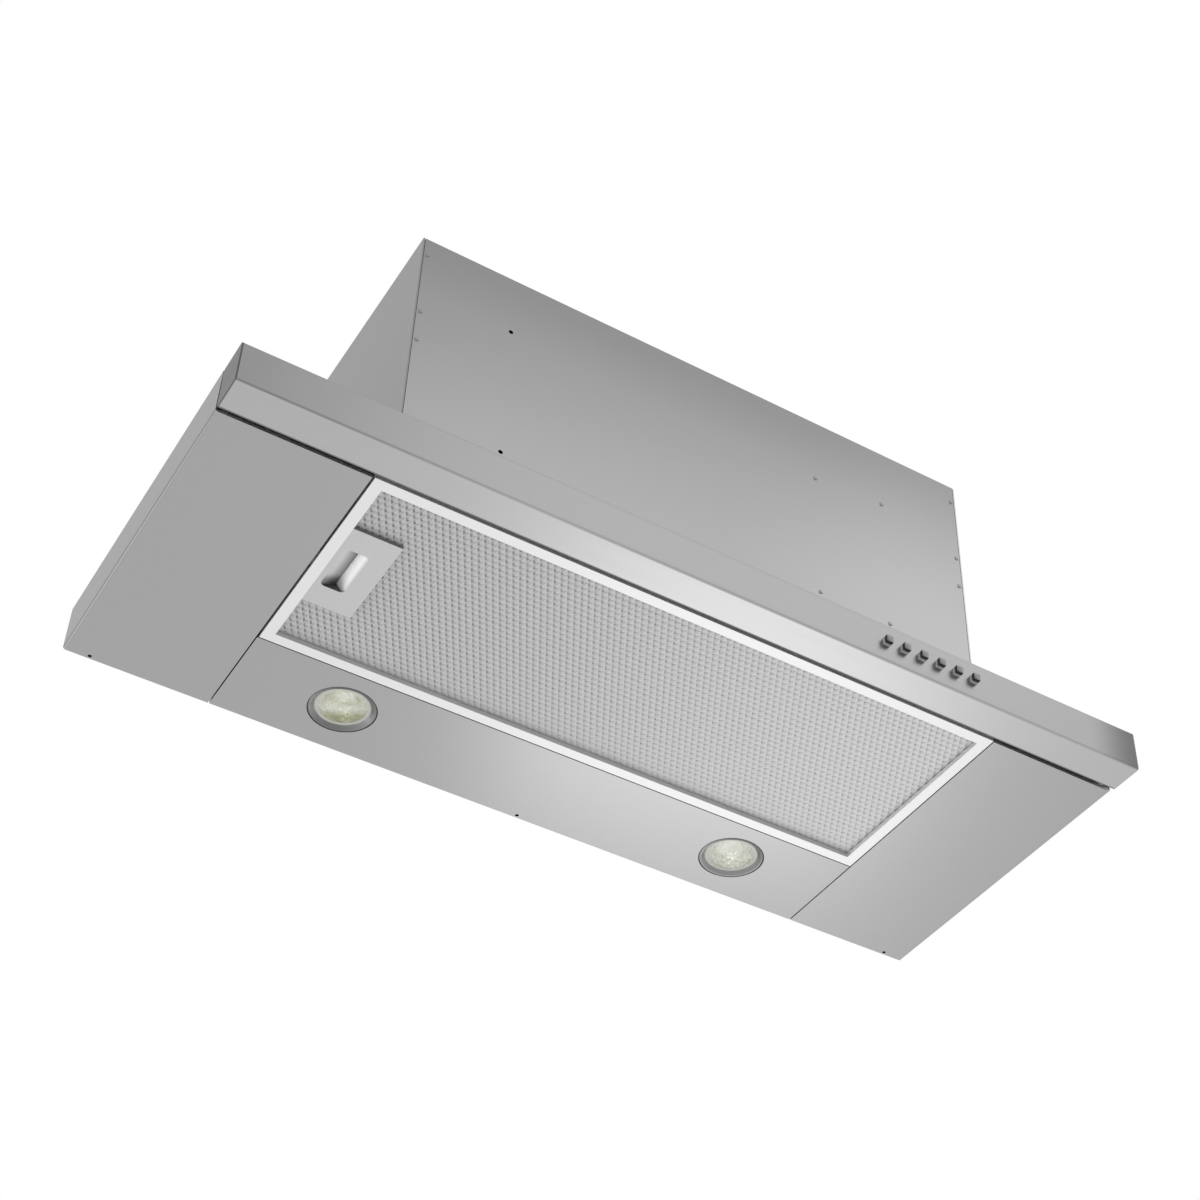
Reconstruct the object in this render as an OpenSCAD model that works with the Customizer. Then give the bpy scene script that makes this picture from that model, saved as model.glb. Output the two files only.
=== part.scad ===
// Pull-out range hood: a flat telescopic base under a motor housing.
// Right is +X, the fascia bar faces -Y and the flat bottom is at Z zero.

/* [Fascia bar] */
// Width of the fascia bar
bar_w = 760; // [720:1:800]
// Height of the fascia bar
bar_h = 36.5; // [35:0.5:38]
// Depth of the fascia bar, front to back
bar_d = 29.5; // [28:0.5:34]
// Outer radius of the bar's two long front edges
bar_edge_r = 1.8; // [1.4:0.1:3]

/* [Base] */
// Gap between the closed bar and the base behind it
reveal = 4; // [3:0.1:5]
// How far each side of the base stands in from the bar's end
body_inset = 0.5; // [0.2:0.1:2]
// Depth of the base and of the motor housing
body_d = 280; // [275:1:300]
// Height of the base
base_h = 39.5; // [39:0.5:42]
// Thickness of all steel sheet
sheet = 1.2; // [1:0.1:1.4]
// Outer radius of a folded sheet corner
bend_r = 2.4; // [2:0.1:3]
// Width of each end panel
end_w = 115; // [110:1:122]
// Width of the seams between the lower panels and round the filter
seam = 1; // [0.8:0.1:1.5]
// Width of the seam at the filter's latched end
latch_seam = 2; // [1.8:0.1:2.4]
// Height of the stiffening hems under the panels' free edges
hem_h = 3; // [2:0.1:3]
// Height of the brackets that carry the ends of the filter
bracket_h = 19; // [17:0.5:20]
// Width of the brackets' feet
bracket_foot = 14; // [10:1:20]
// Width of the deck's front and rear rails
deck_rail_w = 17; // [15:1:20]
// Height of the flange under the front rail
deck_flange_h = 10; // [8:0.5:11]
// Radius of the screw holes that fix the hood to a cabinet
cabinet_hole_r = 2.75; // [2:0.05:3.5]
// Distance between the cabinet screws, left to right
cabinet_pitch_x = 640; // [600:1:660]
// Distance between the cabinet screws, front to back
cabinet_pitch_y = 200; // [160:1:220]
// Radius of the small drain holes along the bottom's rear edge
drain_r = 1.5; // [1:0.1:2]
// Distance of the outer drain holes from the base's sides
drain_inset = 20; // [15:1:30]

/* [Motor housing] */
// Width of the motor housing
box_w = 501; // [490:1:510]
// Height of the motor housing above the base
box_h = 229.5; // [226:0.5:240]
// Width of the housing's inner corner flanges
box_flange = 14; // [10:1:18]
// Distance of the corner rivets from the housing's sides
rivet_inset = 4.7; // [4:0.1:6]
// Radius of a rivet's head
rivet_r = 2; // [1.5:0.1:2.4]
// Height of a rivet's head
rivet_h = 0.8; // [0.5:0.1:1]
// Radius of the two open fixing holes in the housing's front
front_hole_r = 1.9; // [1.5:0.1:2.5]
// Outer radius of the duct collar
collar_r = 75; // [72:0.5:78]
// Height of the duct collar above the housing
collar_h = 25; // [20:1:27]
// Width of the collar's foot flange
collar_flange = 11; // [8:0.5:14]
// Distance of the duct's axis behind the housing's front
duct_offset = 96; // [94:0.5:100]

/* [Filter] */
// How far the filter stands ahead of the base's front edge
filter_lead = 0.8; // [0:0.1:1.5]
// Height of the filter's frame
filter_h = 9; // [8.5:0.1:10]
// Visible width of the filter's rim
rim_w = 9; // [8:0.5:10]
// Height of the rim below the mesh
rim_h = 4; // [3.6:0.1:4.2]
// Wall of the filter's outer channel
rim_wall = 1; // [0.8:0.1:1.2]
// Thickness of one layer of filter mesh
mesh_t = 0.8; // [0.6:0.1:1]
// Number of mesh openings, left to right
mesh_cols = 24; // [18:1:26]
// Number of mesh openings, front to back
mesh_rows = 10; // [6:1:11]
// Width of the mesh's strands
strand_w = 3.2; // [2:0.1:4]
// Width of the latch plate
latch_w = 38.6; // [36:0.2:42]
// Depth of the latch plate, front to back
latch_d = 85; // [75:1:90]
// Thickness of the latch plate
latch_t = 1.2; // [1:0.1:1.4]
// How high the latch plate stands above the rim's underside
latch_rise = 0.8; // [0.5:0.1:1]
// Width of the finger recess
recess_w = 19; // [17:0.5:20]
// Length of the finger recess
recess_d = 43; // [36:1:50]
// Radius of the finger recess's corners
recess_r = 4; // [3:0.5:6]
// Travel of the latch
latch_travel = 2.6; // [2.4:0.1:3]

/* [Lights] */
// Depth of the light panel behind the filter
light_d = 88.5; // [85:0.5:95]
// Distance of each lamp from the middle of the hood
lamp_x = 175; // [165:1:185]
// Distance of the lamps in front of the hood's rear edge
lamp_inset = 47; // [42:1:52]
// Outer radius of a lamp's bezel
bezel_r = 26.6; // [26:0.1:28]
// Radius of a lamp's glass
glass_r = 23.2; // [22:0.1:23.6]
// How deep the glass lies in its bezel
glass_depth = 2.6; // [2:0.1:4]
// Thickness of a lamp's glass
glass_t = 1.6; // [1:0.1:2]

/* [Visor and slides] */
// Travel of the visor
visor_travel = 165; // [150:1:170]
// Clearance between the closed visor and the lamps
visor_clear = 4.3; // [3:0.1:10]
// Height of the visor's panel above the base's bottom
visor_z = 24; // [23:0.5:25]
// Height of the lip along the visor's rear edge
visor_lip_h = 8; // [6:0.5:9]
// Length of the slides
slide_len = 250; // [240:1:255]
// Height of the slides' outer rails
slide_h = 26; // [25:0.5:27]
// Depth of the slides across the hood
slide_w = 10; // [9.6:0.1:11]
// Wall of the slides' rails
rail_t = 1.2; // [1:0.1:1.3]
// Radius of the slides' balls
ball_r = 1.6; // [1.4:0.05:1.7]
// Number of balls in each row
ball_count = 6; // [4:1:7]
// Distance between the balls
ball_pitch = 12; // [10:0.5:12]

/* [Buttons] */
// Side of a button's square face
button_w = 5.8; // [5:0.1:7]
// How far a button stands out of the bar
button_out = 5; // [4:0.1:5.5]
// Travel of a button
button_travel = 2.5; // [2:0.1:3]
// Distance between buttons
button_pitch = 16.1; // [14:0.1:18]
// Place of the first button to the right of the middle
button_x = 140.5; // [120:0.5:150]

/* [Blower] */
// Outer radius of the fan wheel
wheel_r = 71; // [69:0.5:72]
// Width of the fan wheel
wheel_w = 96; // [90:1:100]
// Length of the blades from the rim inwards
blade_len = 13; // [11:0.5:14]
// Thickness of a blade
blade_t = 0.9; // [0.8:0.1:1.2]
// Number of blades
blade_count = 40; // [28:1:44]
// Radius of the fan shaft
shaft_r = 4; // [3.5:0.1:5]
// Clearance between the wheel and the scroll's tongue
scroll_gap = 6; // [5:0.5:7]
// How much the scroll's radius grows over a full turn
scroll_growth = 44; // [40:1:46]
// Depth of the scroll's outlet
outlet_d = 95; // [90:1:98]
// Height of the fan's axis above the base
fan_rise = 118; // [116:1:120]
// Radius of the motor
motor_r = 41; // [38:0.5:43]
// Length of the motor
motor_len = 74; // [68:1:78]

/* [Hidden] */
$fn = 48;

// Overrun of every cut, and the running gap between pieces that move
cut = 0.4;
gap = 0.3;
pin_gap = 0.05;
button_count = 6;

// Places that most pieces share
hood_d = bar_d + reveal + body_d;
face_y = (button_out - hood_d) / 2;
back_y = face_y + bar_d;
front_y = back_y + reveal;
rear_y = front_y + body_d;
body_x = bar_w / 2 - body_inset;
centre_x = body_x - end_w - seam;
deck_z = base_h - sheet;
box_x = box_w / 2;
box_top_z = base_h + box_h;
duct_y = front_y + duct_offset;
filter_y = front_y - filter_lead;
filter_d = rear_y - light_d - seam - filter_y;
light_front_y = rear_y - light_d;
lamp_y = rear_y - lamp_inset;
visor_d = lamp_y - bezel_r - visor_clear - back_y;

// Steel colours
steel = "silver";
zinc = "darkgray";

// Extrudes a drawing of depth and height along X
module along_x(length) {
    rotate([90, 0, 90]) linear_extrude(length) children();
}

// Extrudes a drawing of width and height along Y
module along_y(length) {
    translate([0, length, 0]) rotate([90, 0, 0]) linear_extrude(length) children();
}

// Copies a part to the left
module on_left() {
    mirror([1, 0, 0]) children();
}

// Corner of folded sheet, its outer corner at the origin
module folded_corner(width, height) {
    inner_r = bend_r - sheet;
    difference() {
        union() {
            translate([bend_r, 0]) square([width - bend_r, height]);
            translate([0, bend_r]) square([width, height - bend_r]);
            translate([bend_r, bend_r]) circle(bend_r);
        }
        translate([bend_r, sheet]) square([width, height]);
        translate([sheet, bend_r]) square([width, height]);
        translate([bend_r, bend_r]) circle(inner_r);
    }
}

// Fascia bar: a channel that is open at the back and at both ends
button_z = bar_h / 2;
button_hole = button_w + 2 * gap;

module bar_section() {
    inner_r = bar_edge_r - sheet;
    far = bar_d - sheet;
    difference() {
        union() {
            translate([bar_edge_r, 0]) square([far - bar_edge_r, bar_h]);
            translate([0, bar_edge_r]) square([far, bar_h - 2 * bar_edge_r]);
            for (z = [bar_edge_r, bar_h - bar_edge_r])
                translate([bar_edge_r, z]) circle(bar_edge_r);
        }
        translate([bar_edge_r, sheet]) square([bar_d, bar_h - 2 * sheet]);
        translate([sheet, bar_edge_r]) square([bar_d, bar_h - 2 * bar_edge_r]);
        for (z = [bar_edge_r, bar_h - bar_edge_r])
            translate([bar_edge_r, z]) circle(inner_r);
    }
}

module fascia_bar() {
    color(steel)
    difference() {
        translate([sheet - bar_w / 2, face_y, 0])
            along_x(bar_w - 2 * sheet) bar_section();
        for (i = [0 : button_count - 1])
            translate([button_x + i * button_pitch - button_hole / 2,
                       face_y - cut, button_z - button_hole / 2])
                cube([button_hole, sheet + 2 * cut, button_hole]);
    }
}

module fascia_back_plate() {
    color(zinc)
    translate([sheet - bar_w / 2, back_y - sheet, 0])
        cube([bar_w - 2 * sheet, sheet, bar_h]);
}

// Cap that closes an end of the bar
module fascia_cap() {
    far = bar_d - bar_edge_r;
    translate([bar_w / 2 - sheet, face_y, 0])
    along_x(sheet)
        union() {
            translate([bar_edge_r, 0]) square([far, bar_h]);
            translate([0, bar_edge_r]) square([bar_d, bar_h - 2 * bar_edge_r]);
            for (z = [bar_edge_r, bar_h - bar_edge_r])
                translate([bar_edge_r, z]) circle(bar_edge_r);
        }
}

module fascia_cap_left() {
    color(steel) on_left() fascia_cap();
}

module fascia_cap_right() {
    color(steel) fascia_cap();
}

// Buttons and the switches behind them
collar_over = 1;
button_collar_t = 1.2;
button_stem = 3.4;
guide_t = 4;
guide_margin = 6;
guide_y = face_y + sheet + gap + button_collar_t + button_travel + gap;
stem_end_y = guide_y + guide_t - button_travel - gap;
switch_t = 3.6;
switch_y = stem_end_y + button_travel + gap;
switch_w = 6;
board_t = 1.6;
board_y = switch_y + switch_t;
board_h = 22;
button_row = (button_count - 1) * button_pitch;

module button(index) {
    wide = button_w + 2 * collar_over;
    translate([button_x + index * button_pitch, 0, button_z]) {
        translate([-button_w / 2, face_y - button_out, -button_w / 2])
            cube([button_w, button_out + sheet + gap, button_w]);
        translate([-wide / 2, face_y + sheet + gap, -wide / 2])
            cube([wide, button_collar_t, wide]);
        translate([-button_stem / 2, face_y + sheet + gap, -button_stem / 2])
            cube([button_stem, stem_end_y - face_y - sheet - gap, button_stem]);
    }
}

module button_power() {
    color("dimgray") button(0);
}

module button_speed_1() {
    color("dimgray") button(1);
}

module button_speed_2() {
    color("dimgray") button(2);
}

module button_speed_3() {
    color("dimgray") button(3);
}

module button_boost() {
    color("dimgray") button(4);
}

module button_light() {
    color("dimgray") button(5);
}

// Moulded guide that keeps the buttons square, with feet on the bar's walls
module button_guide() {
    stem_hole = button_stem + 2 * gap;
    row = button_row + 2 * guide_margin;
    color("black")
    difference() {
        translate([button_x - guide_margin, guide_y, sheet])
            cube([row, guide_t, bar_h - 2 * sheet]);
        for (i = [0 : button_count - 1])
            translate([button_x + i * button_pitch - stem_hole / 2,
                       guide_y - cut, button_z - stem_hole / 2])
                cube([stem_hole, guide_t + 2 * cut, stem_hole]);
    }
}

module tact_switches() {
    color("black")
    for (i = [0 : button_count - 1])
        translate([button_x + i * button_pitch - switch_w / 2, switch_y,
                   button_z - switch_w / 2])
            cube([switch_w, switch_t, switch_w]);
}

// Board behind the switches, with two posts on the guide
module switch_board() {
    post = guide_margin / 3;
    color("darkgreen")
    union() {
        translate([button_x - guide_margin, board_y, button_z - board_h / 2])
            cube([button_row + 2 * guide_margin, board_t, board_h]);
        for (x = [button_x - guide_margin, button_x + button_row + guide_margin - post])
            translate([x, guide_y + guide_t, button_z - board_h / 2])
                cube([post, board_y - guide_y - guide_t, board_h]);
    }
}

// Slides: an outer rail on the base, an inner rail on the visor, balls between
slide_x = body_x - sheet;
slide_z = (base_h - slide_h) / 2;
slide_y = front_y + 2 * seam + rail_t;
race_gap = ball_r + gap;
inner_h = slide_h - 2 * rail_t - 4 * race_gap;
inner_x = slide_x - slide_w;
inner_depth = slide_w - 2 * rail_t - race_gap;
cage_t = 0.8;
cage_len = ball_count * ball_pitch;
cage_front = slide_y + slide_len / 2 - cage_len / 2 + seam;

module channel(depth, height) {
    difference() {
        square([depth, height]);
        translate([rail_t, rail_t]) square([depth, height - 2 * rail_t]);
    }
}

module outer_rail() {
    translate([slide_x, slide_y, slide_z])
        mirror([1, 0, 0]) {
            along_y(slide_len) channel(slide_w, slide_h);
            translate([0, slide_len - rail_t, 0]) cube([slide_w / 2, rail_t, slide_h]);
        }
}

module inner_rail() {
    translate([inner_x, slide_y - rail_t, slide_z + slide_h / 2 - inner_h / 2])
        along_y(slide_len - 2 * rail_t) channel(inner_depth, inner_h);
}

// Cage: a strip along the outer rail with two shelves that hold the balls
cage_web_x = slide_x - rail_t - gap - cage_t;
ball_row_x = cage_web_x - race_gap - cage_t;
ball_rows = [slide_z + rail_t + race_gap, slide_z + slide_h - rail_t - race_gap];
cage_shelf = cage_web_x - ball_row_x + ball_r + cage_t;

module at_balls() {
    for (z = ball_rows, i = [0 : ball_count - 1])
        translate([ball_row_x, cage_front + (i + 1 / 2) * ball_pitch, z]) children();
}

module ball_cage() {
    difference() {
        union() {
            translate([cage_web_x, cage_front, ball_rows[0] - cage_t / 2])
                cube([cage_t, cage_len, ball_rows[1] - ball_rows[0] + cage_t]);
            for (z = ball_rows)
                translate([cage_web_x - cage_shelf, cage_front, z - cage_t / 2])
                    cube([cage_shelf, cage_len, cage_t]);
        }
        at_balls() translate([0, 0, -cage_t]) cylinder(r = ball_r + pin_gap, h = 2 * cage_t);
    }
    at_balls() sphere(ball_r);
}

module outer_rail_left() {
    color(zinc) on_left() outer_rail();
}

module outer_rail_right() {
    color(zinc) outer_rail();
}

module inner_rail_left() {
    color(steel) on_left() inner_rail();
}

module inner_rail_right() {
    color(steel) inner_rail();
}

module ball_cage_left() {
    color("gold") on_left() ball_cage();
}

module ball_cage_right() {
    color("gold") ball_cage();
}

// Visor: a wide tray that slides out under the deck with the bar
visor_x = inner_x;
visor_lip_x = visor_x - 2 * sheet;
visor_drop = inner_h / 2 + sheet;
screw_r = 3.2;
screw_h = 1.6;
visor_screw_count = 5;

module visor_panel() {
    color(steel)
    union() {
        translate([-visor_x, back_y, visor_z]) cube([2 * visor_x, visor_d, sheet]);
        for (x = [-visor_x, visor_x - sheet])
            translate([x, back_y, visor_z - visor_drop])
                cube([sheet, visor_d, visor_drop]);
        for (y = [back_y, back_y + visor_d - sheet])
            translate([-visor_lip_x, y, visor_z])
                cube([2 * visor_lip_x, sheet, visor_lip_h]);
    }
}

// Screws through the visor's front flange, seen in the reveal
module visor_screws() {
    span = 2 * (visor_x - end_w / 2);
    color(zinc)
    for (i = [0 : visor_screw_count - 1])
        translate([i * span / (visor_screw_count - 1) - span / 2, back_y + sheet,
                   visor_z + sheet + visor_lip_h / 2])
            rotate([-90, 0, 0]) cylinder(r = screw_r, h = screw_h);
}

// Small hole through the bottom, close to the rear wall
module drain_hole(x) {
    translate([x, rear_y - sheet - gap - drain_r, -cut])
        cylinder(r = drain_r, h = sheet + 2 * cut);
}

// End panel: bottom, side and rear wall, open on top and towards the middle
module end_panel() {
    inner = body_x - end_w;
    difference() {
        union() {
            translate([body_x, front_y, 0]) mirror([1, 0, 0])
                along_y(body_d) folded_corner(end_w, base_h);
            translate([inner, rear_y - sheet, 0])
                cube([end_w - bend_r, sheet, base_h]);
            translate([inner, front_y, 0]) cube([sheet, body_d, hem_h]);
            translate([inner, front_y, 0]) cube([end_w - bend_r, sheet, hem_h]);
        }
        drain_hole(body_x - drain_inset);
    }
}

module end_panel_left() {
    color(steel) on_left() end_panel();
}

module end_panel_right() {
    color(steel) end_panel();
}

// Light panel: the strip behind the filter that holds the two lamps
lamp_hole_r = bezel_r + gap;

module light_panel() {
    color(steel)
    difference() {
        union() {
            translate([-centre_x, light_front_y, 0]) cube([2 * centre_x, light_d, sheet]);
            translate([-centre_x, rear_y - sheet, 0]) cube([2 * centre_x, sheet, base_h]);
            translate([-centre_x, light_front_y, 0]) cube([2 * centre_x, sheet, 2 * hem_h]);
            for (x = [-centre_x, centre_x - sheet])
                translate([x, light_front_y, 0]) cube([sheet, light_d, 2 * hem_h]);
        }
        for (x = [-lamp_x, lamp_x])
            translate([x, lamp_y, -cut]) cylinder(r = lamp_hole_r, h = sheet + 2 * cut);
        drain_hole(0);
    }
}

// Deck: two wings that screw to the cabinet, and rails under the motor housing
rail_x = box_x - sheet;

module deck_wing() {
    color(steel)
    difference() {
        translate([box_x, front_y, deck_z])
            cube([slide_x - box_x, body_d - sheet, sheet]);
        for (y = [-cabinet_pitch_y / 2, cabinet_pitch_y / 2])
            translate([cabinet_pitch_x / 2, front_y + body_d / 2 + y, deck_z - cut])
                cylinder(r = cabinet_hole_r, h = sheet + 2 * cut);
    }
}

module deck_left() {
    on_left() deck_wing();
}

module deck_right() {
    deck_wing();
}

module deck_front_rail() {
    color(zinc)
    union() {
        translate([-rail_x, front_y, deck_z]) cube([2 * rail_x, deck_rail_w, sheet]);
        translate([-rail_x, front_y, base_h - deck_flange_h])
            cube([2 * rail_x, sheet, deck_flange_h]);
    }
}

module deck_rear_rail() {
    color(zinc)
    translate([-rail_x, rear_y - sheet - deck_rail_w, deck_z])
        cube([2 * rail_x, deck_rail_w, sheet]);
}

// Brackets that carry the filter: its tabs on the right, its bolt on the left
tab_z = rim_h + gap;
tab_t = 1.2;
tab_w = 12;
tab_len = sheet + seam + 2 * sheet;
tab_inset = 30;
slot_over = 1.5;
bolt_w = 14;
bolt_t = 1.4;
latch_y = filter_y + filter_d / 2;
bracket_x = centre_x + seam + sheet;
bracket_y = front_y + sheet + gap;
bracket_d = 2 * (latch_y - bracket_y);
tab_places = [filter_y + tab_inset, filter_y + filter_d - tab_inset];
filter_left = centre_x + seam - latch_seam;
bolt_tip = centre_x + seam - gap;

module filter_bracket() {
    translate([bracket_x, bracket_y, sheet])
    union() {
        cube([bracket_foot, bracket_d, sheet]);
        cube([sheet, bracket_d, bracket_h]);
    }
}

// The slots leave the filter's tabs room to swing upwards
module filter_bracket_right() {
    color(zinc)
    difference() {
        filter_bracket();
        for (y = tab_places)
            translate([bracket_x - cut, y - tab_w / 2 - slot_over, tab_z - gap])
                cube([sheet + 2 * cut, tab_w + 2 * slot_over, bracket_h / 2]);
    }
}

module filter_bracket_left() {
    color(zinc) on_left()
    difference() {
        filter_bracket();
        translate([bracket_x - cut, latch_y - bolt_w / 2 - slot_over, 2 * sheet])
            cube([sheet + 2 * cut, bolt_w + 2 * slot_over, bracket_h / 2]);
    }
}

// Spring clip outside the left bracket: its lip reaches under the bolt
keeper_t = 0.6;
keeper_leg = 3;
keeper_in = bolt_w + 2 * slot_over;
keeper_out = keeper_in + 2 * keeper_leg;
lip_z = tab_z - gap - keeper_t;
lip_left = filter_left + gap;

module latch_keeper() {
    clip_x = bracket_x + sheet;
    color("silver") on_left()
    translate([0, latch_y, lip_z])
    union() {
        translate([lip_left, gap - keeper_in / 2, 0])
            cube([clip_x - lip_left, keeper_in - 2 * gap, keeper_t]);
        translate([clip_x, -keeper_out / 2, 0]) cube([keeper_t, keeper_out, keeper_t]);
        for (y = [-keeper_out / 2, keeper_in / 2])
            translate([clip_x, y, 0]) cube([keeper_t, keeper_leg, bracket_h - lip_z]);
    }
}

// Filter frame: a low rim with a channel above it for the mesh
window_d = filter_d - 2 * rim_w;
pack_top = filter_h - rim_wall;

filter_w = filter_left + centre_x;

module filter_frame() {
    color("white")
    difference() {
        union() {
            translate([-filter_left, filter_y, 0]) cube([filter_w, filter_d, filter_h]);
            for (y = tab_places)
                translate([centre_x - cut, y - tab_w / 2, tab_z])
                    cube([tab_len + cut, tab_w, tab_t]);
        }
        translate([rim_w - filter_left, filter_y + rim_w, -cut])
            cube([filter_w - 2 * rim_w, window_d, filter_h + 2 * cut]);
        translate([rim_wall - filter_left, filter_y + rim_wall, rim_h])
            cube([filter_w - 2 * rim_wall, filter_d - 2 * rim_wall, pack_top - rim_h]);
        translate([-filter_left - cut, latch_y - bolt_w / 2 - gap, tab_z - gap])
            cube([rim_wall + 2 * cut, bolt_w + 2 * gap, bolt_t + 2 * gap]);
    }
}

// Places of the latch: its plate, its finger recess and the room behind it
plate_left = rim_w - filter_left + gap;
plate_z = latch_rise;
cup_left = plate_left + (latch_w - recess_w) / 5;
cup_right = cup_left + recess_w;
cup_wall = 1;
recess_h = filter_h - plate_z - cup_wall - 2 * gap;
well_d = recess_d + 4 * cup_wall;
well_right = plate_left + latch_w - gap;

// One layer of mesh: a sheet with rows of diamond openings
mesh_left = filter_left - rim_wall - gap;
mesh_w = filter_w - 2 * (rim_wall + gap);
mesh_d = filter_d - 2 * (rim_wall + gap);
mesh_pitch_x = (filter_w - 2 * rim_w) / mesh_cols;
mesh_pitch_y = window_d / mesh_rows;
half_x = (mesh_pitch_x - strand_w) / 2;
half_y = (mesh_pitch_y - strand_w) / 2;

// The layers are cut out round the latch
module mesh_layer(z) {
    diamond = [[-half_x, 0], [0, -half_y], [half_x, 0], [0, half_y]];
    difference() {
        translate([-mesh_left, filter_y + rim_wall + gap, z])
            cube([mesh_w, mesh_d, mesh_t]);
        translate([plate_left - rim_w, latch_y - well_d / 2, z - cut])
            cube([well_right - plate_left + rim_w, well_d, mesh_t + 2 * cut]);
        translate([0, 0, z - cut]) linear_extrude(mesh_t + 2 * cut)
            for (i = [0 : mesh_cols - 1], j = [0 : mesh_rows - 1]) {
                x = rim_w - filter_left + (i + 1 / 2) * mesh_pitch_x;
                y = filter_y + rim_w + (j + 1 / 2) * mesh_pitch_y;
                near = x - half_x < well_right + strand_w
                    && abs(y - latch_y) < well_d / 2 + half_y + strand_w;
                if (!near) translate([x, y]) polygon(diamond);
            }
    }
}

module filter_mesh_outer() {
    color("lightgray") mesh_layer(rim_h);
}

module filter_mesh_inner() {
    color("lightgray") mesh_layer(pack_top - mesh_t);
}

// Latch plate: slides to the right and draws its bolt out of the keeper
skirt_h = rim_h - gap - plate_z;
seat_x = cup_right + cup_wall;
seat_w = bolt_w / 2;

// Rounded rectangle with its first corner at the origin
module rounded_plate(width, depth, r) {
    translate([r, 0]) square([width - 2 * r, depth]);
    translate([0, r]) square([width, depth - 2 * r]);
    for (x = [r, width - r], y = [r, depth - r])
        translate([x, y]) circle(r);
}

// Slanted block of the finger recess, grown by a wall where it is the outside
module recess_block(wall) {
    deep_x = cup_right - recess_h;
    profile = [
        [cup_left - wall, plate_z - cut], [cup_left - wall, plate_z],
        [deep_x - wall, plate_z + recess_h + wall],
        [deep_x + wall, plate_z + recess_h + wall],
        [cup_right + wall, plate_z], [cup_right + wall, plate_z - cut]
    ];
    intersection() {
        translate([0, latch_y - recess_d / 2 - wall, 0])
            along_y(recess_d + 2 * wall) polygon(profile);
        translate([cup_left - wall, latch_y - recess_d / 2 - wall,
                   wall > 0 ? plate_z : plate_z - cut])
            linear_extrude(recess_h + 2 * wall + 2 * cut)
                rounded_plate(recess_w + 2 * wall, recess_d + 2 * wall,
                              recess_r + wall);
    }
}

module latch_plate() {
    color("gainsboro")
    difference() {
        union() {
            translate([plate_left, latch_y - latch_d / 2, plate_z])
                cube([latch_w, latch_d, latch_t]);
            for (y = [latch_y - latch_d / 2, latch_y + latch_d / 2 - cup_wall])
                translate([plate_left, y, plate_z]) cube([latch_w, cup_wall, skirt_h]);
            translate([plate_left + latch_w - cup_wall, latch_y - latch_d / 2, plate_z])
                cube([cup_wall, latch_d, skirt_h]);
            recess_block(cup_wall);
            translate([plate_left, latch_y - bolt_w / 2, plate_z])
                cube([2 * cup_wall, bolt_w, tab_z + bolt_t - plate_z]);
            translate([-bolt_tip, latch_y - bolt_w / 2, tab_z])
                cube([plate_left + bolt_tip + cup_wall, bolt_w, bolt_t]);
            translate([cup_right - recess_h, latch_y - seat_w / 2, plate_z])
                cube([seat_x - cup_right + recess_h, seat_w, recess_h + cup_wall]);
        }
        recess_block(0);
    }
}

// Cover over the latch on the filter's upper side, with a post for the spring
post_x = plate_left + latch_w - cup_wall;

module latch_back_plate() {
    color("lightgray")
    union() {
        translate([-filter_left, latch_y - latch_d / 2, filter_h])
            cube([post_x + filter_left, latch_d, cup_wall]);
        translate([post_x - cup_wall, latch_y - bolt_w / 2, rim_h + gap])
            cube([cup_wall, bolt_w, filter_h - rim_h - gap]);
    }
}

spring_r = 1.6;
spring_wire = 0.5;

module latch_spring() {
    spring_len = post_x - cup_wall - seat_x;
    color("gray")
    translate([seat_x, latch_y, rim_h + gap + spring_r])
    rotate([0, 90, 0])
    difference() {
        cylinder(r = spring_r, h = spring_len);
        translate([0, 0, -cut])
            cylinder(r = spring_r - spring_wire, h = spring_len + 2 * cut);
    }
}

// Lamps: a stepped bezel, a glass disc, a bulb with a deep reflector, a holder
bezel_h = 8;
bezel_lip = 0.8;
seat_r = glass_r + gap;
bulb_h = 26;
bulb_neck_r = 9;
bulb_wall = 1;
bulb_z = glass_depth + glass_t + 2 * pin_gap;
bulb_top = bulb_z + bulb_h;
bulb_mid_r = (glass_r + bulb_neck_r) / 2 + 2 * bulb_wall;
holder_h = 16;
holder_r = 13;
holder_arm_x = bezel_r + 2 * bezel_lip;
holder_arm_w = 10;

module at_lamp(side) {
    translate([side * lamp_x, lamp_y, 0]) children();
}

module lamp_bezel() {
    rotate_extrude()
    polygon([
        [bezel_r - bezel_lip, 0],
        [bezel_r, bezel_lip],
        [bezel_r, sheet + bezel_lip],
        [bezel_r - bezel_lip, sheet + 2 * bezel_lip],
        [seat_r + 2 * bezel_lip, bezel_h],
        [seat_r, bezel_h],
        [seat_r, glass_depth],
        [glass_r - 2 * bezel_lip, glass_depth],
        [glass_r - bezel_lip, glass_depth - bezel_lip],
        [bezel_r - 3 * bezel_lip, 0]
    ]);
}

module lamp_glass() {
    translate([0, 0, glass_depth]) cylinder(r = glass_r, h = glass_t);
}

module lamp_bulb() {
    rotate_extrude()
    polygon([
        [glass_r, bulb_z],
        [bulb_mid_r, bulb_z + bulb_h / 2],
        [bulb_neck_r, bulb_top - bulb_h / 8],
        [bulb_neck_r, bulb_top],
        [0, bulb_top],
        [0, bulb_top - bulb_h / 4],
        [bulb_neck_r - 2 * bulb_wall, bulb_top - bulb_h / 4],
        [bulb_mid_r - 2 * bulb_wall, bulb_z + bulb_h / 2],
        [glass_r - 2 * bulb_wall, bulb_z]
    ]);
}

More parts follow.
